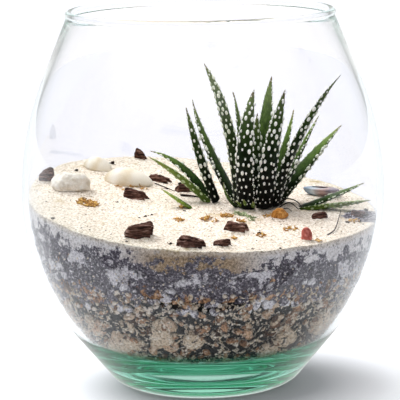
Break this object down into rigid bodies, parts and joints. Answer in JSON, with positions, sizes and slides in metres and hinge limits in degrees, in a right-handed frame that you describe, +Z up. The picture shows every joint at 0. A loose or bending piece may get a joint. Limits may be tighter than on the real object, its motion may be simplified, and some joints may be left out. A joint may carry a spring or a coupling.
{
  "type": "glass plant terrarium",
  "caption": "Bellied clear glass bowl with pale sand over dark soil and bark, planted with a spotted haworthia and dressed with bark chips, shells and stones.",
  "frame": {"origin": "middle of the foot, on the surface that the bowl stands on", "axes": "+Z up through the bowl's mouth, +Y to the back, so the camera side is -Y"},
  "size_m": [0.15, 0.15, 0.156],
  "materials": {
    "glass": "clear blown glass, green in its thick foot",
    "drainage": "loose bark and pebbles",
    "soil": "dark crumbly soil",
    "sand": "pale dry sand",
    "leaf": "waxy dark green leaf with white bumps",
    "young_leaf": "waxy yellow-green leaf",
    "bark": "rough dark bark",
    "white_stone": "chalky white stone",
    "red_stone": "rough red stone",
    "amber_bark": "fibrous amber bark",
    "pale_shell": "smooth pale shell",
    "blue_shell": "glossy blue-grey shell"
  },
  "bodies": {
    "root": {"glass_bowl": "glass", "drainage_layer": "drainage", "soil_layer": "soil", "sand_layer": "sand", "haworthia_rosette": "leaf", "haworthia_pup_left": "leaf", "haworthia_pup_right": "leaf", "young_leaf": "young_leaf", "bark_chip_1": "bark", "bark_chip_2": "bark", "bark_chip_3": "bark", "bark_chip_4": "bark", "bark_chip_5": "bark", "bark_chip_6": "bark", "bark_chip_7": "bark", "bark_chip_8": "bark", "bark_chip_9": "bark", "bark_chip_10": "bark", "bark_chip_11": "bark", "white_stone": "white_stone", "red_pebble": "red_stone", "amber_bark": "amber_bark", "cream_shell": "pale_shell", "white_shell": "pale_shell", "blue_shell": "blue_shell"}
  },
  "joints": []
}
